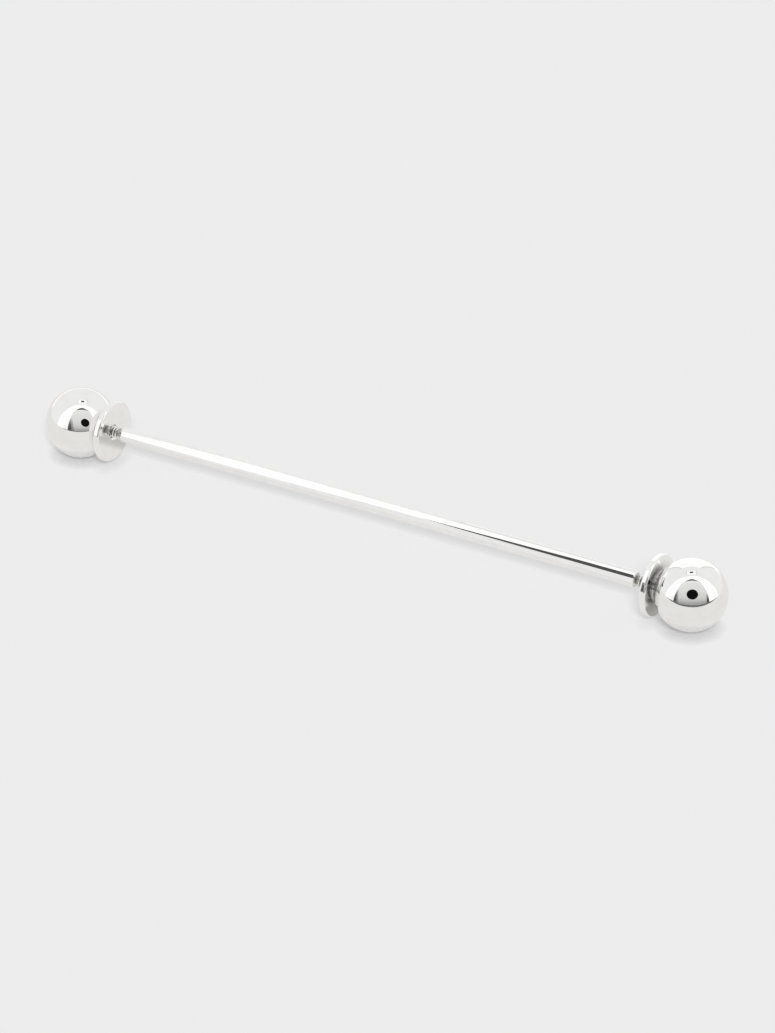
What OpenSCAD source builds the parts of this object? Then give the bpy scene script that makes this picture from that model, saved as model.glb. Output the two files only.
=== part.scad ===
// Collar bar: a polished wire with a screw thread on each end, and a ball with a collar plate on each
// thread. Millimetres. The bar lies along X on its two balls, +Z up, with the origin on the surface
// it lies on, under the middle of its length. Both threads are right-hand.

/* [Bar] */
// Length of the plain wire between the two threads
plain_l = 45; // [30:0.5:70]
// Diameter of the plain wire
rod_d = 1.2; // [1.05:0.05:1.6]
// Bevel on each shoulder of the plain wire
shoulder_bevel = 0.06; // [0.02:0.01:0.1]

/* [Thread] */
// Diameter over the thread's crests
thread_d = 0.96; // [0.9:0.01:0.98]
// Distance from one crest to the next
thread_pitch = 0.25; // [0.2:0.01:0.3]
// Length of each threaded end, from shoulder to tip
thread_l = 4; // [3.6:0.1:5]
// Bevel on each tip
tip_bevel = 0.1; // [0.04:0.01:0.15]

/* [Ball] */
// Diameter of each ball
ball_d = 5.5; // [5:0.1:8]
// Diameter of the flat on the ball that is soldered to the plate
seat_d = 1.7; // [1.6:0.05:2.2]
// Depth left in the ball's hole past the thread's tip when the knob is screwed home
hole_spare = 0.2; // [0.1:0.05:0.4]

/* [Collar plate] */
// Diameter of each plate
plate_d = 4.8; // [3.5:0.1:6]
// Thickness of each plate
plate_t = 0.5; // [0.4:0.05:0.8]
// Radius of the plate's rounded rim
rim_r = 0.14; // [0.05:0.01:0.18]

/* [Thread sleeve] */
// Outside diameter of each tapped sleeve
sleeve_d = 1.4; // [1.3:0.02:1.5]
// Length of each tapped sleeve
sleeve_l = 2.8; // [2:0.1:3]
// Bevel at the sleeve's mouth
mouth_bevel = 0.08; // [0.04:0.01:0.12]

/* [Rest position] */
// Thread showing between the left plate and the plain wire
left_open = 0.8; // [0.1:0.05:1.6]
// Thread showing between the right plate and the plain wire
right_open = 1.4; // [0.1:0.05:1.6]

/* [Clearances] */
// Gap all round between the thread's crests and what runs on them
thread_gap = 0.02; // [0.015:0.005:0.05]
// Gap all round between the sleeve and the ball's hole
sleeve_gap = 0.02; // [0.015:0.005:0.04]
// How much wider than the wire, all round, the plate's hole opens towards the wire
entry_gap = 0.05; // [0.03:0.01:0.1]

/* [Hidden] */

polished_silver = [0.90, 0.90, 0.89];
brass = [0.80, 0.66, 0.36];

// Facets on a round piece
fine = 96;

// Form of a 60 degree metric thread, as shares of its pitch
crest_flat = thread_pitch / 8;
thread_depth = 0.6134 * thread_pitch;
root_sink = 0.12 * thread_pitch;
flank_lean = tan(30);
// Points round one turn of the ridge, and turns over which it rises from the core
turn_steps = 16;
lead_turns = 0.5;

crest_r = thread_d / 2;
root_r = crest_r - thread_depth;
running_d = thread_d + 2 * thread_gap;
entry_d = rod_d + 2 * entry_gap;
ball_r = ball_d / 2;
ball_hole_d = sleeve_d + 2 * sleeve_gap;

// Distance from the ball's centre to its flat
seat_h = sqrt(pow(ball_r, 2) - pow(seat_d / 2, 2));
// Places along an end, from the plate's inner face outwards
ball_x = plate_t + seat_h;
hole_l = thread_l - plate_t + hole_spare;

// The plain wire is off centre by this much, so that the whole bar is centred
rod_x = (left_open - right_open) / 2;

// Turns a cylinder or a revolved profile so that its axis lies along +X
module along_x() rotate([0, 90, 0]) children();

// Puts children at a shoulder of the plain wire, with local +X pointing outwards
module at_shoulder(side)
  translate([rod_x + side * plain_l / 2, 0, ball_r])
    rotate([0, 0, side > 0 ? 0 : 180])
      children();

// Puts children at a plate's inner face, with local +X pointing outwards
module at_plate(side)
  at_shoulder(side)
    translate([side > 0 ? right_open : left_open, 0, 0])
      children();

// The ridge of one thread as a swept trapezium. It rises from the core over lead_turns at each end.
function ridge_points(start_x, count) = [
  for (i = [0 : count])
    let (
      angle = i * 360 / turn_steps,
      rise = min(1, min(i, count - i) / (lead_turns * turn_steps)),
      top = root_r - root_sink / 2 + (thread_depth + root_sink / 2) * rise,
      half_crest = crest_flat / 2,
      half_base = half_crest + flank_lean * (thread_depth + root_sink),
      middle = start_x + i * thread_pitch / turn_steps
    )
    for (corner = [[root_r - root_sink, -half_base], [top, -half_crest],
                   [top, half_crest], [root_r - root_sink, half_base]])
      [middle + corner[1], corner[0] * cos(angle), corner[0] * sin(angle)]
];

module ridge() {
  corners = 4;
  start_x = thread_pitch;
  count = floor((thread_l - tip_bevel - 2 * start_x) / thread_pitch * turn_steps);
  last = count * corners;
  sides = [
    for (i = [0 : count - 1], k = [0 : corners - 1])
      let (
        a = i * corners + k,
        b = i * corners + (k + 1) % corners
      )
      for (face = [[a, b, b + corners], [a, b + corners, a + corners]]) face
  ];
  caps = [[0, 2, 1], [0, 3, 2], [last, last + 1, last + 2], [last, last + 2, last + 3]];
  polyhedron(ridge_points(start_x, count), concat(sides, caps));
}

module bar_rod() {
  plain_r = rod_d / 2;
  half_l = plain_l / 2;
  tip = half_l + thread_l;
  color(polished_silver) {
    translate([rod_x, 0, ball_r])
      along_x()
        rotate_extrude($fn = fine)
          polygon([
            [0, -tip], [root_r - tip_bevel, -tip], [root_r, -tip + tip_bevel], [root_r, -half_l],
            [plain_r - shoulder_bevel, -half_l], [plain_r, -half_l + shoulder_bevel],
            [plain_r, half_l - shoulder_bevel], [plain_r - shoulder_bevel, half_l],
            [root_r, half_l], [root_r, tip - tip_bevel], [root_r - tip_bevel, tip], [0, tip],
          ]);
    for (side = [-1, 1])
      at_shoulder(side)
        ridge();
  }
}

module collar_plate(side) {
  outer_r = plate_d / 2;
  hole_r = running_d / 2;
  entry_r = entry_d / 2;
  rim_steps = 6;
  inner_rim = [
    for (i = [0 : rim_steps])
      let (a = 90 * i / rim_steps)
      [outer_r - rim_r + rim_r * sin(a), rim_r - rim_r * cos(a)]
  ];
  outer_rim = [
    for (i = [0 : rim_steps])
      let (a = 90 * i / rim_steps)
      [outer_r - rim_r + rim_r * cos(a), plate_t - rim_r + rim_r * sin(a)]
  ];
  at_plate(side)
    along_x()
      rotate_extrude($fn = fine)
        polygon(concat(
          [[entry_r, 0]], inner_rim, outer_rim,
          [[hole_r, plate_t], [hole_r, entry_r - hole_r]]
        ));
}

module ball(side)
  at_plate(side)
    difference() {
      translate([ball_x, 0, 0])
        sphere(r = ball_r, $fn = fine);
      // the flat that meets the plate
      translate([plate_t - ball_r, 0, 0])
        cube(2 * ball_r, center = true);
      // the blind hole for the sleeve and the thread's tip
      translate([plate_t - hole_spare, 0, 0])
        along_x()
          cylinder(d = ball_hole_d, h = hole_l + hole_spare, $fn = fine);
    }

module thread_sleeve(side) {
  running_r = running_d / 2;
  sleeve_r = sleeve_d / 2;
  at_plate(side)
    translate([plate_t, 0, 0])
      along_x()
        rotate_extrude($fn = fine)
          polygon([
            [running_r + mouth_bevel, 0], [sleeve_r, 0], [sleeve_r, sleeve_l],
            [running_r, sleeve_l], [running_r, mouth_bevel],
          ]);
}

module left_collar_plate() color(polished_silver) collar_plate(-1);
module right_collar_plate() color(polished_silver) collar_plate(1);
module left_ball() color(polished_silver) ball(-1);
module right_ball() color(polished_silver) ball(1);
module left_thread_sleeve() color(brass) thread_sleeve(-1);
module right_thread_sleeve() color(brass) thread_sleeve(1);

bar_rod();
left_collar_plate();
left_ball();
left_thread_sleeve();
right_collar_plate();
right_ball();
right_thread_sleeve();
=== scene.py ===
# Looks of a collar bar: a polished wire with a ball and a thin collar plate screwed on each end.
from math import asin, cos, pi, radians, sin, tan

import bmesh
import bpy
from mathutils import Matrix, Vector


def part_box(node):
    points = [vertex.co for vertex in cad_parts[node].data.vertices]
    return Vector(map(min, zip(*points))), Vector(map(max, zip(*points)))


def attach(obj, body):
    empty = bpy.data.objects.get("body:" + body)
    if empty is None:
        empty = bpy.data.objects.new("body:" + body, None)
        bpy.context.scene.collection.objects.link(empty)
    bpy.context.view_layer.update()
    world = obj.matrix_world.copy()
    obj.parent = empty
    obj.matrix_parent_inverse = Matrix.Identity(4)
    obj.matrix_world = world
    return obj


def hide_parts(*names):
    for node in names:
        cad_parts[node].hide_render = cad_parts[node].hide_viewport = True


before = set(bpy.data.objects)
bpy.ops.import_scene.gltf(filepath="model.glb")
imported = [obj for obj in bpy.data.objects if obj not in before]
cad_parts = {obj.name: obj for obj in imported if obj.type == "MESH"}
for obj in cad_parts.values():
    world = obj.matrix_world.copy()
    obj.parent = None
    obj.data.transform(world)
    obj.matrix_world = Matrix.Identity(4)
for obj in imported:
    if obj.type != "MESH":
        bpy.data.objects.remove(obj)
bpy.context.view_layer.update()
mm = 0.001
scene = bpy.context.scene
barLow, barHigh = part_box("bar_rod")
axisZ = (barLow.z + barHigh.z) / 2
print("frame loaded:", ", ".join(sorted(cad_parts)))


# Camera

view = {
    "azimuth": 30.42,  # degrees round from the front towards the right-hand ball
    "elevation": 28.87,
    "distance": 387.4 * mm,
    "aim": (1.53 * mm, -1.02 * mm, 2.75 * mm),
    "lens": 179.4,
    "sensor": 36,  # along the picture's long side
    "clip": (0.01, 20),
}


def directionFrom(azimuth, elevation):
    a, e = radians(azimuth), radians(elevation)
    return Vector((sin(a) * cos(e), -cos(a) * cos(e), sin(e)))


def makeCamera():
    data = bpy.data.cameras.new("camera")
    camera = bpy.data.objects.new("camera", data)
    scene.collection.objects.link(camera)
    data.sensor_fit = "AUTO"
    data.sensor_width = view["sensor"]
    data.lens = view["lens"]
    data.clip_start, data.clip_end = view["clip"]
    back = directionFrom(view["azimuth"], view["elevation"])
    camera.location = Vector(view["aim"]) + back * view["distance"]
    camera.rotation_mode = "QUATERNION"
    camera.rotation_quaternion = (-back).to_track_quat("-Z", "Y")
    scene.camera = camera


makeCamera()
scene.view_settings.view_transform = "Standard"


# Materials

class NodeWriter:
    # A short way to add nodes to a tree and to join them
    def __init__(self, tree):
        self.tree = tree

    def add(self, kind, inputs=None, **settings):
        node = self.tree.nodes.new(kind)
        for key, value in settings.items():
            setattr(node, key, value)
        for key, value in (inputs or {}).items():
            self.put(node.inputs[key], value)
        return node

    def put(self, socket, value):
        if isinstance(value, bpy.types.NodeSocket):
            self.tree.links.new(value, socket)
        else:
            socket.default_value = value

    def math(self, operation, *values, clamp=False):
        node = self.add("ShaderNodeMath", operation=operation, use_clamp=clamp)
        for socket, value in zip(node.inputs, values):
            self.put(socket, value)
        return node.outputs[0]


class Shader(NodeWriter):
    # A new material, or the world
    def __init__(self, name, world=None):
        self.material = world or bpy.data.materials.new(name)
        self.material.use_nodes = True
        super().__init__(self.material.node_tree)
        self.tree.nodes.clear()
        self.output = self.add("ShaderNodeOutputWorld" if world else "ShaderNodeOutputMaterial")

    def span(self, value, low, high, toLow=0.0, toHigh=1.0, smooth=True):
        node = self.add("ShaderNodeMapRange", {
            "Value": value, "From Min": low, "From Max": high, "To Min": toLow, "To Max": toHigh,
        })
        node.interpolation_type = "SMOOTHSTEP" if smooth else "LINEAR"
        return node.outputs[0]

    def blend(self, factor, first, second):
        node = self.add("ShaderNodeMix", data_type="RGBA")
        for place, value in ((0, factor), (6, first), (7, second)):
            self.put(node.inputs[place], value)
        return node.outputs[2]

    def objectPlace(self):
        return self.add("ShaderNodeTexCoord").outputs["Object"]

    def noise(self, place, scale, detail, roughness=0.5):
        return self.add("ShaderNodeTexNoise", {
            "Vector": place, "Scale": scale, "Detail": detail, "Roughness": roughness,
        }).outputs["Fac"]

    def hairlines(self, place, stretch, turn, scale, detail, roughness=0.6):
        # Noise drawn out: a small stretch along one axis makes lines along that axis
        mapping = self.add("ShaderNodeMapping", {"Vector": place, "Rotation": turn, "Scale": stretch})
        return self.noise(mapping.outputs[0], scale, detail, roughness)

    def fromAxis(self, place):
        # The place along the bar, and its distance from the bar's axis
        parts = self.add("ShaderNodeSeparateXYZ", {"Vector": place}).outputs
        y, z = parts["Y"], self.math("SUBTRACT", parts["Z"], axisZ)
        square = self.math("ADD", self.math("MULTIPLY", y, y), self.math("MULTIPLY", z, z))
        return parts["X"], self.math("SQRT", square)

    def asMetal(self, color, roughness, height, strength, depth):
        bump = self.add("ShaderNodeBump", {"Height": height, "Strength": strength, "Distance": depth})
        bsdf = self.add("ShaderNodeBsdfPrincipled", {
            "Base Color": color, "Metallic": 1.0, "Roughness": roughness, "Normal": bump.outputs[0],
        })
        self.put(self.output.inputs[0], bsdf.outputs[0])
        return self.material


silver = {
    "color": (0.95, 0.948, 0.944, 1),
    "dulled": (0.925, 0.92, 0.912, 1),  # in soft patches
    "roughness": 0.018,
    "haze": 0.03,  # roughness that patches and polishing lines add
    "patchNoise": (900.0, 4.0, 0.55),  # scale, detail and roughness
    "patchEdges": (0.42, 0.68),
    "lineNoise": {"wire": (14000, 3.0), "ball": (9000, 3.0), "plate": (22000, 2.0)},  # scale and detail
    "lineStretch": {"wire": 0.02, "ball": 0.06, "plate": 0.2},
    "ballLineTurns": ((0.5, 0.9, 0.3), (1.1, 0.2, 0.7)),
    "lineEdges": (0.60, 0.72),
    "lineStrength": 0.04,
    "lineDepth": 0.002 * mm,
    # Painted shade where ball and plate meet: a darker silver, which is also made rougher
    "darkTone": (0.59, 0.583, 0.574, 1),
    "seatShadeRoughness": 0.12,
    "seatShadeLeast": 0.55,  # its share where the patches are weakest
    "seatShadePatches": (0.2, 0.6),
    "seatShadeOnBall": (0.05 * mm, 0.5 * mm),  # from the seat: full up to the first, none past the second
    "seatShadeOnPlate": (0.1 * mm, 0.2 * mm),
    "seatShadeRadii": (1.4 * mm, 2.2 * mm),  # the same, out from the axis, on the plate
}


def polishingLines(shader, place, along, radius, marks):
    # They run along the wire, round the plate, and two ways across the ball
    noise, stretch = silver["lineNoise"][marks], silver["lineStretch"][marks]
    if marks == "wire":
        return shader.hairlines(place, (stretch, 1, 1), (0, 0, 0), *noise)
    if marks == "plate":
        shortened = shader.math("MULTIPLY", along, stretch)
        rings = shader.add("ShaderNodeCombineXYZ", {"X": radius, "Y": shortened}).outputs[0]
        return shader.hairlines(rings, (1, 1, 1), (0, 0, 0), *noise)
    first, second = silver["ballLineTurns"]
    return shader.math("MAXIMUM",
                       shader.hairlines(place, (stretch, 1, 1), first, *noise),
                       shader.hairlines(place, (1, stretch, 1), second, *noise))


def seatShadeShare(shader, along, radius, cloud, marks, seat):
    # Painted shade where ball and plate meet: full near the seat, fading out away from it, weaker in patches
    fromSeat = shader.math("ABSOLUTE", shader.math("SUBTRACT", along, seat))
    if marks == "plate":
        share = shader.math("MULTIPLY",
                            shader.span(fromSeat, *silver["seatShadeOnPlate"], 1, 0),
                            shader.span(radius, *silver["seatShadeRadii"], 1, 0))
    else:
        share = shader.span(fromSeat, *silver["seatShadeOnBall"], 1, 0)
    uneven = shader.span(cloud, *silver["seatShadePatches"], silver["seatShadeLeast"], 1)
    return shader.math("MULTIPLY", share, uneven)


def polishedSilver(name, marks, seat=None):
    # marks is "wire", "plate" or "ball"; seat is the place along the bar where ball and plate meet
    shader = Shader(name)
    place = shader.objectPlace()
    along, radius = shader.fromAxis(place)
    lines = polishingLines(shader, place, along, radius, marks)
    cloud = shader.noise(place, *silver["patchNoise"])
    patch = shader.span(cloud, *silver["patchEdges"])
    scratch = shader.span(lines, *silver["lineEdges"])
    haze = shader.math("ADD", shader.math("MULTIPLY", patch, silver["haze"] / 2),
                       shader.math("MULTIPLY", scratch, silver["haze"]))
    roughness = shader.math("ADD", silver["roughness"], haze)
    color = shader.blend(patch, silver["color"], silver["dulled"])
    if seat is not None:
        # painted shade near the seat: a darker colour, plus extra roughness
        share = seatShadeShare(shader, along, radius, cloud, marks, seat)
        color = shader.blend(share, color, silver["darkTone"])
        roughness = shader.math("ADD", roughness, shader.math("MULTIPLY", share, silver["seatShadeRoughness"]))
    return shader.asMetal(color, roughness, lines, silver["lineStrength"], silver["lineDepth"])


def threadSilver(name):
    # Cut silver: bright rubbed crests, dull and tarnished in the roots
    look = {
        "crest": (0.92, 0.915, 0.905, 1),
        "root": (0.50, 0.485, 0.46, 1),
        "crestRoughness": 0.1,
        "rootRoughness": 0.32,
        "grimeNoise": (12000.0, 3.0),  # scale and detail
        "grimeShare": 0.5,
        "grimeStrength": 0.15,
        "grimeDepth": 0.004 * mm,
    }
    shader = Shader(name)
    place = shader.objectPlace()
    radius = shader.fromAxis(place)[1]
    grime = shader.noise(place, *look["grimeNoise"])
    uneven = shader.math("MULTIPLY", shader.math("SUBTRACT", grime, 0.5), look["grimeShare"])
    height = shader.span(radius, thread["rootRadius"], thread["crestRadius"])
    rubbed = shader.math("ADD", height, uneven, clamp=True)
    color = shader.blend(rubbed, look["root"], look["crest"])
    roughness = shader.span(rubbed, 0, 1, look["rootRoughness"], look["crestRoughness"])
    return shader.asMetal(color, roughness, grime, look["grimeStrength"], look["grimeDepth"])


def turnedBrass(name):
    # Brass as it comes off the lathe: fine rings along the sleeve and a little tarnish
    look = {
        "color": (0.78, 0.56, 0.25, 1),
        "darkTone": (0.52, 0.34, 0.14, 1),
        "tarnishNoise": (1500.0, 4.0),  # scale and detail
        "tarnishEdges": (0.45, 0.75),
        "roughness": (0.2, 0.4),
        "roughnessEdges": (0.3, 0.8),
        "ringNoise": (20000, 2.0),  # scale and detail
        "ringStretch": (1, 0.02, 0.02),
        "ringStrength": 0.3,
        "ringDepth": 0.003 * mm,
    }
    shader = Shader(name)
    place = shader.objectPlace()
    rings = shader.hairlines(place, look["ringStretch"], (0, 0, 0), *look["ringNoise"])
    cloud = shader.noise(place, *look["tarnishNoise"])
    color = shader.blend(shader.span(cloud, *look["tarnishEdges"]), look["color"], look["darkTone"])
    roughness = shader.span(cloud, *look["roughnessEdges"], *look["roughness"])
    return shader.asMetal(color, roughness, rings, look["ringStrength"], look["ringDepth"])


# Turned pieces

def turnedOutline(corners, edgeLoop=0.006 * mm, arcSteps=8):
    # corners is a list of (place along the bar, radius, rounding). Each rounded corner becomes an arc,
    # with a close loop on either side so that the flats next to it stay flat when shaded smooth.
    points = []
    count = len(corners)
    for i, (x, r, rounding) in enumerate(corners):
        here = Vector((x, r))
        if rounding <= 0:
            points.append(here)
            continue
        before = Vector(corners[i - 1][:2]) - here
        after = Vector(corners[(i + 1) % count][:2]) - here
        half = before.angle(after) / 2
        before.normalize()
        after.normalize()
        reach = rounding / tan(half)
        start, end = here + before * reach, here + after * reach
        centre = here + (before + after).normalized() * (rounding / sin(half))
        first, last = start - centre, end - centre
        turn = first.angle_signed(last)
        points.append(start + before * edgeLoop)
        for step in range(arcSteps + 1):
            points.append(centre + Matrix.Rotation(-turn * step / arcSteps, 2) @ first)
        points.append(end + after * edgeLoop)
    return points


def turned(name, points, sides, closed):
    mesh = bmesh.new()
    onAxis = 1e-9
    rings = []
    for x, r in points:
        angles = [2 * pi * k / sides for k in range(1 if r < onAxis else sides)]
        rings.append([mesh.verts.new((x, r * cos(angle), axisZ + r * sin(angle))) for angle in angles])
    pairs = list(zip(rings, rings[1:]))
    if closed:
        pairs.append((rings[-1], rings[0]))
    for ring, nextRing in pairs:
        for k in range(sides):
            j = (k + 1) % sides
            corners = [ring[k % len(ring)], ring[j % len(ring)],
                       nextRing[j % len(nextRing)], nextRing[k % len(nextRing)]]
            corners = list(dict.fromkeys(corners))  # one corner fewer where a ring is a single point
            if len(corners) > 2:
                mesh.faces.new(corners)
    bmesh.ops.recalc_face_normals(mesh, faces=mesh.faces)
    return pieceFrom(name, mesh)


def pieceFrom(name, mesh):
    data = bpy.data.meshes.new(name)
    mesh.to_mesh(data)
    mesh.free()
    data.shade_smooth()
    piece = bpy.data.objects.new(name, data)
    scene.collection.objects.link(piece)
    return piece


def finishPiece(piece, material, body, node=None):
    piece.data.materials.clear()
    piece.data.materials.append(material)
    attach(piece, body)
    if node:
        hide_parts(node)


wire = {
    "radius": (barHigh.z - barLow.z) / 2,
    "threadLength": 4 * mm,
    "shoulderBevel": 0.06 * mm,
    "edgeSoftness": 0.015 * mm,
    "tipBevel": 0.1 * mm,
    "sides": 128,
}


def makeWire():
    left, right = barLow.x + wire["threadLength"], barHigh.x - wire["threadLength"]
    plain, bevel, soft = wire["radius"], wire["shoulderBevel"], wire["edgeSoftness"]
    corners = [
        (left, 0, 0), (left, plain - bevel, soft), (left + bevel, plain, soft),
        (right - bevel, plain, soft), (right, plain - bevel, soft), (right, 0, 0),
    ]
    piece = turned("barWire", turnedOutline(corners), wire["sides"], closed=False)
    finishPiece(piece, polishedSilver("polishedWire", "wire"), "bar", "bar_rod")
    return left, right


leftShoulder, rightShoulder = makeWire()
print("wire made, shoulders at", round(leftShoulder / mm, 3), round(rightShoulder / mm, 3))


# Threads: one Geometry Nodes tree sweeps the ridge along a helix and sets it on both shoulders

thread = {
    "pitch": 0.25 * mm,
    "crestRadius": 0.48 * mm,
    "rootRadius": 0.32665 * mm,
    "crestShare": 1 / 8,  # the crest's flat as a share of the pitch
    "sink": 0.03 * mm,  # how far the ridge goes down into the core
    "flankAngle": 30,
    "crestRounding": 0.35,  # as a share of the crest's flat
    "leadTurns": 0.5,
    "leadStart": 0.02,  # how high the ridge is where the lead starts
    "stepsPerTurn": 48,
    "coreSides": 64,
    "coreSegments": 8,
    "tipSegments": 2,
    "crestSteps": 3,
}


class Tree(NodeWriter):
    def __init__(self, name, sizes):
        super().__init__(bpy.data.node_groups.new(name, "GeometryNodeTree"))
        self.tree.is_modifier = True
        self.identifiers = {}
        for label, kind in sizes:
            socket = self.tree.interface.new_socket(label, in_out="INPUT", socket_type="NodeSocket" + kind)
            self.identifiers[label] = socket.identifier
        self.tree.interface.new_socket("Geometry", in_out="OUTPUT", socket_type="NodeSocketGeometry")
        self.input = self.tree.nodes.new("NodeGroupInput")
        self.output = self.tree.nodes.new("NodeGroupOutput")

    def size(self, label):
        return self.input.outputs[label]

    def moved(self, geometry, x=0.0, z=0.0, turn=(0, 0, 0)):
        place = self.add("ShaderNodeCombineXYZ", {"X": x, "Z": z}).outputs[0]
        return self.add("GeometryNodeTransform", {
            "Geometry": geometry, "Translation": place, "Rotation": turn,
        }).outputs[0]

    def joined(self, parts):
        join = self.add("GeometryNodeJoinGeometry")
        for part in parts:
            self.tree.links.new(part, join.inputs[0])
        return join.outputs[0]


def threadRidge(tree):
    # It runs along +Z from the shoulder, and starts and ends one pitch inside the threaded length
    math, size = tree.math, tree.size
    baseRadius = math("SUBTRACT", size("Root Radius"), size("Root Sink"))
    height = math("SUBTRACT", size("Crest Radius"), baseRadius)
    cutLength = math("SUBTRACT", size("Length"), size("Tip Bevel"))
    run = math("SUBTRACT", cutLength, math("MULTIPLY", size("Pitch"), 2.0))
    turns = math("DIVIDE", run, size("Pitch"))
    helix = tree.add("GeometryNodeCurveSpiral", {
        "Resolution": size("Steps Per Turn"), "Rotations": turns,
        "Start Radius": baseRadius, "End Radius": baseRadius, "Height": run,
    }).outputs[0]
    upright = tree.add("GeometryNodeSetCurveNormal", {"Curve": helix}, mode="Z_UP").outputs[0]
    # It rises from the core over the lead at each end
    along = tree.add("GeometryNodeSplineParameter").outputs["Factor"]
    fromEnd = math("MINIMUM", along, math("SUBTRACT", 1.0, along))
    rise = math("MINIMUM", math("DIVIDE", math("MULTIPLY", fromEnd, turns), size("Lead Turns")), 1.0)
    risen = tree.add("GeometryNodeSetCurveRadius", {
        "Curve": upright, "Radius": math("MAXIMUM", rise, thread["leadStart"]),
    }).outputs[0]
    base = math("ADD", size("Crest Flat"), math("MULTIPLY", height, 2 * tan(radians(thread["flankAngle"]))))
    outline = tree.add("GeometryNodeCurvePrimitiveQuadrilateral", {
        "Bottom Width": base, "Top Width": size("Crest Flat"), "Height": height, "Offset": 0.0,
    }, mode="TRAPEZOID").outputs[0]
    # The curve's normals point at the axis, so the crest goes to -X
    profile = tree.moved(outline, x=math("MULTIPLY", height, -0.5), turn=(0, 0, pi / 2))
    rounded = tree.add("GeometryNodeFilletCurve", {
        "Curve": profile, "Count": thread["crestSteps"],
        "Radius": math("MULTIPLY", size("Crest Flat"), thread["crestRounding"]),
    }, mode="POLY").outputs[0]
    ridge = tree.add("GeometryNodeCurveToMesh", {
        "Curve": risen, "Profile Curve": rounded, "Fill Caps": True,
    }).outputs[0]
    return tree.moved(ridge, z=size("Pitch"), turn=(0, 0, pi / 2))


def roundBar(tree, length, endRadius, sideSegments, fillSegments):
    return tree.add("GeometryNodeMeshCone", {
        "Vertices": thread["coreSides"], "Side Segments": sideSegments, "Fill Segments": fillSegments,
        "Radius Top": endRadius, "Radius Bottom": tree.size("Root Radius"), "Depth": length,
    }, fill_type="NGON").outputs["Mesh"]


def threadTree():
    tree = Tree("cutThread", [
        ("Pitch", "Float"), ("Crest Radius", "Float"), ("Root Radius", "Float"), ("Root Sink", "Float"),
        ("Crest Flat", "Float"), ("Length", "Float"), ("Tip Bevel", "Float"), ("Lead Turns", "Float"),
        ("Steps Per Turn", "Int"), ("Left Shoulder", "Float"), ("Right Shoulder", "Float"),
        ("Axis Height", "Float"), ("Finish", "Material"),
    ])
    size = tree.size
    ridge = threadRidge(tree)
    # The core under it, and the bevelled tip
    coreLength = tree.math("SUBTRACT", size("Length"), size("Tip Bevel"))
    core = roundBar(tree, coreLength, size("Root Radius"), thread["coreSegments"], 1)
    tipRadius = tree.math("SUBTRACT", size("Root Radius"), size("Tip Bevel"))
    bevel = roundBar(tree, size("Tip Bevel"), tipRadius, thread["tipSegments"], thread["tipSegments"])
    tip = tree.moved(bevel, z=coreLength)
    oneEnd = tree.add("GeometryNodeGeometryToInstance", {0: tree.joined((ridge, core, tip))}).outputs[0]
    ends = tree.joined([
        tree.moved(oneEnd, x=size(label), z=size("Axis Height"), turn=(0, pi / 2, turn))
        for label, turn in (("Left Shoulder", pi), ("Right Shoulder", 0))
    ])
    whole = tree.add("GeometryNodeRealizeInstances", {0: ends}).outputs[0]
    coated = tree.add("GeometryNodeSetMaterial", {"Geometry": whole, "Material": size("Finish")}).outputs[0]
    tree.put(tree.output.inputs[0], coated)
    return tree


def makeThreads():
    finish = threadSilver("cutThread")
    tree = threadTree()
    holder = bpy.data.objects.new("threadHolder", bpy.data.meshes.new("threadHolder"))
    scene.collection.objects.link(holder)
    modifier = holder.modifiers.new("cutThread", "NODES")
    modifier.node_group = tree.tree
    sizes = {
        "Pitch": thread["pitch"],
        "Crest Radius": thread["crestRadius"],
        "Root Radius": thread["rootRadius"],
        "Root Sink": thread["sink"],
        "Crest Flat": thread["pitch"] * thread["crestShare"],
        "Length": wire["threadLength"],
        "Tip Bevel": wire["tipBevel"],
        "Lead Turns": thread["leadTurns"],
        "Steps Per Turn": thread["stepsPerTurn"],
        "Left Shoulder": leftShoulder,
        "Right Shoulder": rightShoulder,
        "Axis Height": axisZ,
        "Finish": finish,
    }
    for label, value in sizes.items():
        modifier[tree.identifiers[label]] = value
    evaluated = holder.evaluated_get(bpy.context.evaluated_depsgraph_get())
    data = bpy.data.meshes.new_from_object(evaluated)
    bpy.data.objects.remove(holder)
    data.name = "barThreads"
    data.shade_smooth()
    piece = bpy.data.objects.new("barThreads", data)
    scene.collection.objects.link(piece)
    finishPiece(piece, finish, "bar")
    return piece


threads = makeThreads()
print("threads made,", len(threads.data.polygons), "faces")


# Collar plates and balls

plate = {
    "rim": 0.14 * mm,
    "holeSoftness": 0.02 * mm,
    "entrySpare": 0.05 * mm,
    "runningGap": 0.02 * mm,
    "sides": 192,
}
ball = {
    "holeRadius": 0.72 * mm,
    "holeDepth": 3.7 * mm,
    "edgeSoftness": 0.02 * mm,
    "solderRadius": 1.2 * mm,
    "solderSteps": 8,
    "sides": 160,
    "arcSteps": 96,
}


def makePlate(side, inner, outer, radius):
    name = "left" if side < 0 else "right"
    knob, node = name + "_knob", name + "_collar_plate"
    hole, entry = thread["crestRadius"] + plate["runningGap"], wire["radius"] + plate["entrySpare"]
    soft, rim = plate["holeSoftness"], plate["rim"]
    corners = [
        (inner, entry, soft), (inner, radius, rim), (outer, radius, rim), (outer, hole, soft),
        (inner + side * (entry - hole), hole, soft),
    ]
    piece = turned(name + "CollarPlate", turnedOutline(corners), plate["sides"], closed=True)
    finishPiece(piece, polishedSilver(name + "PlateSilver", "plate", outer), knob, node)


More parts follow.
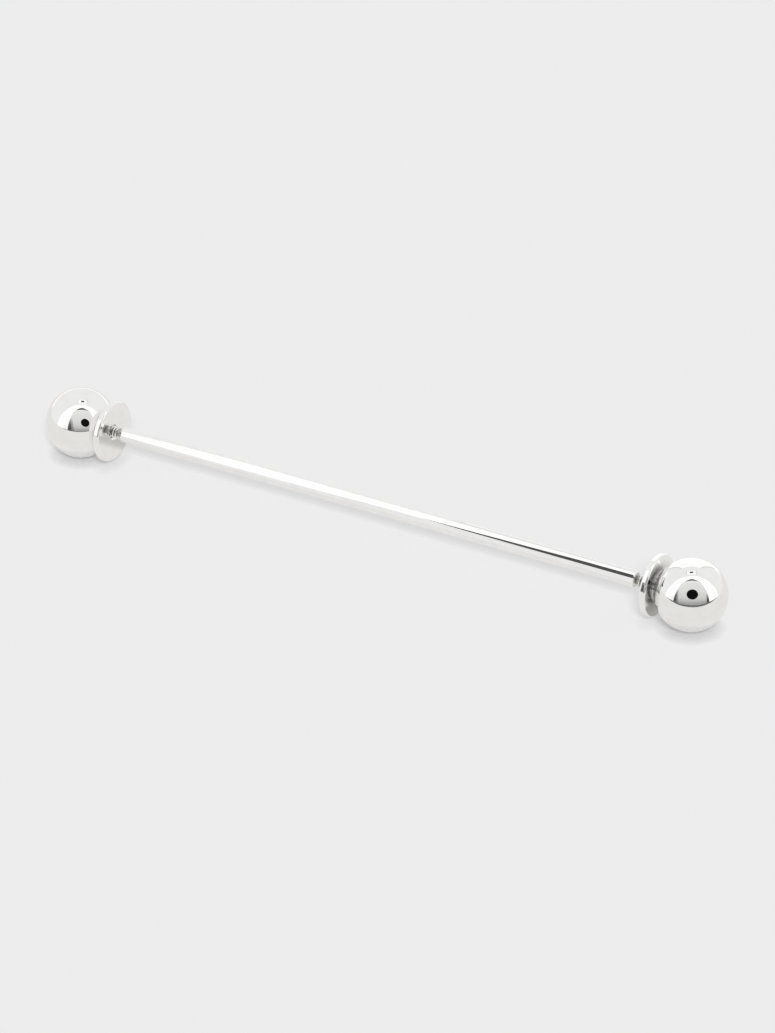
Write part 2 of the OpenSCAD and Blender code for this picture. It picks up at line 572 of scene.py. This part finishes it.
def makeBall(side, seat, centre, radius):
    name = "left" if side < 0 else "right"
    # The sphere runs down to the solder, whose hollow fillet closes the narrow gap over the plate
    solderRadius, steps = ball["solderRadius"], ball["solderSteps"]
    solderAngle = asin(solderRadius / radius)
    arc = []
    for step in range(ball["arcSteps"] + 1):
        angle = (pi - solderAngle) * step / ball["arcSteps"]
        arc.append(Vector((centre + side * radius * cos(angle), radius * sin(angle) if step else 0)))
    gap = abs(centre - seat) - radius * cos(solderAngle)
    fillet = gap / (1 + cos(solderAngle))
    for step in range(1, steps + 1):
        angle = solderAngle + (pi - solderAngle) * step / steps
        arc.append(Vector((seat + side * fillet * (1 + cos(angle)),
                           solderRadius + fillet * (sin(solderAngle) - sin(angle)))))
    hole, soft = ball["holeRadius"], ball["edgeSoftness"]
    bottom = seat + side * ball["holeDepth"]
    start = (arc[-1].x, arc[-1].y, 0)
    inside = turnedOutline([start, (seat, hole, soft), (bottom, hole, soft), (bottom, 0, 0)])
    piece = turned(name + "Ball", arc + inside[1:], ball["sides"], closed=False)
    finishPiece(piece, polishedSilver(name + "BallSilver", "ball", seat), name + "_knob", name + "_ball")


for side, name in ((-1, "left"), (1, "right")):
    plateLow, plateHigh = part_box(name + "_collar_plate")
    ballLow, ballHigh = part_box(name + "_ball")
    inner, outer = (plateLow.x, plateHigh.x) if side > 0 else (plateHigh.x, plateLow.x)
    ballRadius = (ballHigh.z - ballLow.z) / 2
    pole = ballHigh.x if side > 0 else ballLow.x
    makePlate(side, inner, outer, (plateHigh.z - plateLow.z) / 2)
    makeBall(side, outer, pole - side * ballRadius, ballRadius)
    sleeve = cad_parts[name + "_thread_sleeve"]
    sleeve.data.materials.clear()
    sleeve.data.materials.append(turnedBrass(name + "SleeveBrass"))
print("plates, balls and sleeves finished")


# Stage: a plain pale floor in a small white light tent with its front open towards the camera.
# The tent's cards are seen by reflections only. Their places are millimetres from the bar's middle:
# along towards the camera, across to its right, and up.

tent = {
    "front": 110,
    "rear": -200,
    "side": 200,
    "ceiling": 540,
    "whiteFrom": 20,  # the cloth is white in front of this and grey behind it
    "foot": 22,
    "frameDrop": 1,  # how far the frame and the foot stand in front of the cloth
}
opening = {
    "left": -128,
    "right": 151,
    "top": 480,
    "edge": (  # (across, share of the top)
        (-128, 0.45), (-90, 0.66), (-50, 0.88), (0, 1), (50, 0.99), (90, 0.85), (125, 0.7), (151, 0.5),
    ),
    "rimDepth": 380,  # the dark rim under the edge is this deep, times the edge's share less rimFrom
    "rimFrom": 0.62,
    "rimLeast": 0.02,
    "sideRims": {  # (across, up) corners
        "openingLeftRim": ((-128, 0), (-86, 0), (-112, 125), (-128, 125)),
        "openingLeftHaze": ((-86, 0), (-64, 0), (-100, 125), (-112, 125)),
        "openingRightRim": ((151, 0), (116, 0), (134, 75), (151, 75)),
    },
    "sideRimPlace": 110.5,
    "sillHeight": 0.1,
    "sillFrom": 36,
}
sheet = {  # close behind the right-hand ball
    "along": -12,
    "left": 8,
    "right": 39,
    "top": 41,
    "seamWidth": 1.5,
    "seamFoot": 8,
}
ceilingFrame = {
    "ring": (-175, -25, -85, 130),  # rear, front, left, right
    "tie": (-136, -82, -16, 62),
    "bars": (("Left", -99), ("Right", 130)),
    "barWidth": 14,
    "barRear": -190,
}
room = {"beyond": 25, "past": 80, "top": 700}
lens = {"along": 124, "across": 24, "up": 75, "halfWidth": 41, "halfHeight": 42, "sides": 48}

# Pale strips and a dark one held close along the wire. Each corner is the place on the wire that
# shows it to the camera, and its angle up from the front. The wire mirrors the camera's view by
# slant to the left for each step away from it.
strips = {
    "wireUnder": (
        (-21, -22), (23.2, -22), (23.2, 32), (9, 33), (2, 36), (-10, 5), (-21, 5),
    ),
    "wireFlag": (
        (4.3, 40), (7.8, 35), (12.9, 33), (22.75, 32), (22.75, 76), (18, 72), (12.9, 59), (7.8, 47),
    ),
    "wireOver": (
        (-22.5, 64), (4, 61), (12.9, 65), (18, 75), (23.2, 78), (23.2, 116), (-12, 116), (-19, 84),
    ),
    "wireBehind": (
        (8, 117), (23.2, 117), (23.2, 160), (8, 160),
    ),
}
stripPlace = {"reach": 3.2 * mm, "slant": 0.494}

# Each card's light: one level, or several (height, level) stops
lights = {
    "tentWall": 0.875,
    "tentWhite": 1.1,
    "tentRear": 1.06,
    "tentSeam": 0.62,
    "tentEdge": 0.04,
    "tentLeftPanel": ((0, 0.9), (70, 1.1)),
    "roomBeyond": ((0, 0.34), (14, 0.42), (26, 0.53), (50, 0.66), (110, 0.75), (340, 0.84)),
    "openingLeftRim": ((0, 0.13), (14, 0.07), (50, 0.14), (90, 0.4), (125, 0.78)),
    "openingLeftHaze": ((0, 0.22), (50, 0.36), (125, 0.78)),
    "openingRightRim": ((0, 0.1), (16, 0.07), (45, 0.25), (75, 0.75)),
    "openingSill": 0.17,
    "tieRing": 1.02,
    "tieDark": 0.03,
    "lensBlack": 0.006,
    "wireUnder": 0.85,
    "wireFlag": 0.08,
    "wireOver": 1.08,
    "wireBehind": 0.82,
}
stage = {
    "backgroundGrey": 0.846,  # linear, for the picture's flat grey
    "floorHalf": 3.0,
    "floorAlbedo": 0.8,
    "floorInMetal": (0.79, 0.765, 0.735),
    "cameraShare": 0.74,  # how much of the floor is plain grey to the camera, and to the metal
    "metalShare": 0.55,
    "contactReach": 1.15 * mm,  # how far off the floor a piece still darkens the plain grey
    "contactShare": 0.55,
    "contactSamples": 8,
    "ambient": 0.35,
    "sunAzimuth": 34,
    "sunElevation": 36,
    "sunWidth": 12,
}


def directOnly(shader):
    # 1 for light that hasn't met the floor yet, so that the tent's reflections don't wash out the shadows
    return shader.math("LESS_THAN", shader.add("ShaderNodeLightPath").outputs["Diffuse Depth"], 0.5)


def grey(amount):
    return (amount, amount, amount, 1)


def glow(name):
    if name in bpy.data.materials:
        return bpy.data.materials[name]
    shader, light = Shader(name), lights[name]
    if isinstance(light, tuple):
        top = light[-1][0]
        height = shader.add("ShaderNodeSeparateXYZ", {"Vector": shader.objectPlace()}).outputs["Z"]
        ramp = shader.add("ShaderNodeValToRGB", {"Fac": shader.math("DIVIDE", height, top * mm, clamp=True)})
        elements = ramp.color_ramp.elements
        for i, (where, amount) in enumerate(light):
            stop = elements[i] if i < 2 else elements.new(where / top)  # a new ramp has two stops
            stop.position = where / top
            stop.color = grey(amount)
        color = ramp.outputs[0]
    else:
        color = grey(light)
    emission = shader.add("ShaderNodeEmission", {"Color": color, "Strength": directOnly(shader)})
    shader.put(shader.output.inputs[0], emission.outputs[0])
    return shader.material


def stageCard(name, mesh, light):
    made = pieceFrom(name, mesh)
    made.data.materials.append(glow(light))
    made.visible_camera = made.visible_diffuse = made.visible_shadow = False


def tentPoint(along, across, up):
    azimuth = radians(view["azimuth"])
    towards, rightward = Vector((sin(azimuth), -cos(azimuth), 0)), Vector((cos(azimuth), sin(azimuth), 0))
    return (towards * along + rightward * across + Vector((0, 0, up))) * mm


def card(name, corners, light):
    mesh = bmesh.new()
    mesh.faces.new([mesh.verts.new(tentPoint(*corner)) for corner in corners])
    stageCard(name, mesh, light)


def facing(name, along, left, right, low, high, light):
    corners = ((left, low), (right, low), (right, high), (left, high))
    card(name, [(along, across, up) for across, up in corners], light)


def sideways(name, across, rear, front, low, high, light):
    corners = ((rear, low), (front, low), (front, high), (rear, high))
    card(name, [(along, across, up) for along, up in corners], light)


def level(name, up, rear, front, left, right, light):
    corners = ((rear, left), (front, left), (front, right), (rear, right))
    card(name, [(along, across, up) for along, across in corners], light)


def arched(name, along, stops, light):
    # A facing strip whose lower and upper edges bend: stops are (across, low, high)
    mesh = bmesh.new()
    pairs = []
    for across, low, high in stops:
        pairs.append([mesh.verts.new(tentPoint(along, across, up)) for up in (low, high)])
    for (a, b), (c, d) in zip(pairs, pairs[1:]):
        mesh.faces.new((a, c, d, b))
    stageCard(name, mesh, light)


def makeCloth():
    front, rear, side = tent["front"], tent["rear"], tent["side"]
    ceiling, split = tent["ceiling"], tent["whiteFrom"]
    facing("frontLeft", front, -side, opening["left"], 0, ceiling, "tentLeftPanel")
    facing("frontRight", front, opening["right"], side, 0, ceiling, "tentWhite")
    for name, across in (("Left", -side), ("Right", side)):
        sideways("white" + name, across, split, front, 0, ceiling, "tentWhite")
        sideways("grey" + name, across, rear, split, 0, ceiling, "tentWall")
    facing("rearGrey", rear, -side, side, 0, ceiling, "tentWall")
    facing("rearFoot", rear + tent["frameDrop"], -side, side, 0, tent["foot"], "tentWhite")
    level("ceilingWhite", ceiling, split, front, -side, side, "tentWhite")
    level("ceilingGrey", ceiling, rear, split, -side, side, "tentWall")


def makeSheet():
    along, left, right, top = (sheet[key] for key in ("along", "left", "right", "top"))
    facing("rearSheet", along, left, right, 0, top, "tentRear")
    facing("rearSeamLeft", along, left - sheet["seamWidth"], left, sheet["seamFoot"], top, "tentSeam")
    facing("rearSeamRight", along, right, right + sheet["seamWidth"], sheet["seamFoot"], top, "tentSeam")


def makeCeilingFrame():
    low, front = tent["ceiling"] - tent["frameDrop"], ceilingFrame["ring"][1]
    level("ceilingTieRing", low, *ceilingFrame["ring"], "tieRing")
    for name, across in ceilingFrame["bars"]:
        right = across + ceilingFrame["barWidth"]
        level("ceilingBar" + name, low, ceilingFrame["barRear"], front, across, right, "tentSeam")
    level("ceilingTie", low - tent["frameDrop"], *ceilingFrame["tie"], "tieDark")


def makeOpening():
    front, left, right, top = tent["front"], opening["left"], opening["right"], opening["top"]
    past = room["past"]
    facing("room", front + room["beyond"], left - past, right + past, 0, room["top"], "roomBeyond")
    for name, corners in opening["sideRims"].items():
        card(name, [(opening["sideRimPlace"], across, up) for across, up in corners], name)
    rim = []
    for across, rise in opening["edge"]:
        depth = opening["rimDepth"] * max(opening["rimLeast"], rise - opening["rimFrom"])
        rim.append((across, top * rise - depth, top * rise))
    arched("openingTopRim", front, rim, "tentEdge")
    arched("frontTop", front, [(across, high, tent["ceiling"]) for across, _, high in rim], "tentWhite")
    level("openingSill", opening["sillHeight"], opening["sillFrom"], front, left, right, "openingSill")
    angles = [2 * pi * k / lens["sides"] for k in range(lens["sides"])]
    card("lens", [(lens["along"], lens["across"] + lens["halfWidth"] * cos(angle),
                   lens["up"] + lens["halfHeight"] * sin(angle)) for angle in angles], "lensBlack")


def makeStrips():
    reach, slant = stripPlace["reach"], stripPlace["slant"]
    for name, corners in strips.items():
        mesh = bmesh.new()
        spots = []
        for x, angle in corners:
            outwards, up = reach * cos(radians(angle)), reach * sin(radians(angle))
            spots.append(mesh.verts.new((x * mm - slant * reach, -outwards, axisZ + up)))
        mesh.faces.new(spots)
        stageCard(name, mesh, name)


makeCloth()
makeSheet()
makeCeilingFrame()
makeOpening()
makeStrips()
print("light tent hung")


def makeFloor():
    half = stage["floorHalf"]
    mesh = bmesh.new()
    corners = ((-half, -half), (half, -half), (half, half), (-half, half))
    mesh.faces.new([mesh.verts.new((x, y, 0)) for x, y in corners])
    floor = pieceFrom("floor", mesh)
    shader = Shader("paleFloor")
    rays = shader.add("ShaderNodeLightPath").outputs
    inMetal = shader.math("MULTIPLY", rays["Is Glossy Ray"], directOnly(shader))
    share = shader.math("ADD", shader.math("MULTIPLY", rays["Is Camera Ray"], stage["cameraShare"]),
                        shader.math("MULTIPLY", inMetal, stage["metalShare"]))
    tint = shader.blend(inMetal, grey(stage["backgroundGrey"]), (*stage["floorInMetal"], 1))
    contact = shader.add("ShaderNodeAmbientOcclusion", {"Distance": stage["contactReach"]},
                         samples=stage["contactSamples"]).outputs["AO"]
    strength = shader.span(contact, 0, 1, 1 - stage["contactShare"], 1, smooth=False)
    diffuse = shader.add("ShaderNodeBsdfDiffuse", {"Color": grey(stage["floorAlbedo"])}).outputs[0]
    plain = shader.add("ShaderNodeEmission", {"Color": tint, "Strength": strength}).outputs[0]
    mixed = shader.add("ShaderNodeMixShader", {0: share, 1: diffuse, 2: plain}).outputs[0]
    shader.put(shader.output.inputs[0], mixed)
    floor.data.materials.append(shader.material)


def makeWorld():
    scene.world = bpy.data.worlds.new("studio")
    sky = Shader("studio", scene.world)
    rays = sky.add("ShaderNodeLightPath").outputs
    inMetal = sky.math("MULTIPLY", rays["Is Glossy Ray"], directOnly(sky))
    seen = sky.math("MAXIMUM", rays["Is Camera Ray"], inMetal)
    strength = sky.span(seen, 0, 1, stage["ambient"], stage["backgroundGrey"], smooth=False)
    background = sky.add("ShaderNodeBackground", {"Color": grey(1), "Strength": strength})
    sky.put(sky.output.inputs[0], background.outputs[0])


def makeSun():
    lamp = bpy.data.lights.new("softKey", "SUN")
    # With the ambient light it makes the lit floor as bright as the picture's grey
    share = stage["backgroundGrey"] / stage["floorAlbedo"] - stage["ambient"]
    lamp.energy = share * pi / sin(radians(stage["sunElevation"]))
    lamp.angle = radians(stage["sunWidth"])
    key = bpy.data.objects.new("softKey", lamp)
    scene.collection.objects.link(key)
    key.rotation_mode = "QUATERNION"
    shining = -directionFrom(stage["sunAzimuth"], stage["sunElevation"])
    key.rotation_quaternion = shining.to_track_quat("-Z", "Y")
    key.visible_glossy = False


makeFloor()
makeWorld()
makeSun()
print("stage lit")
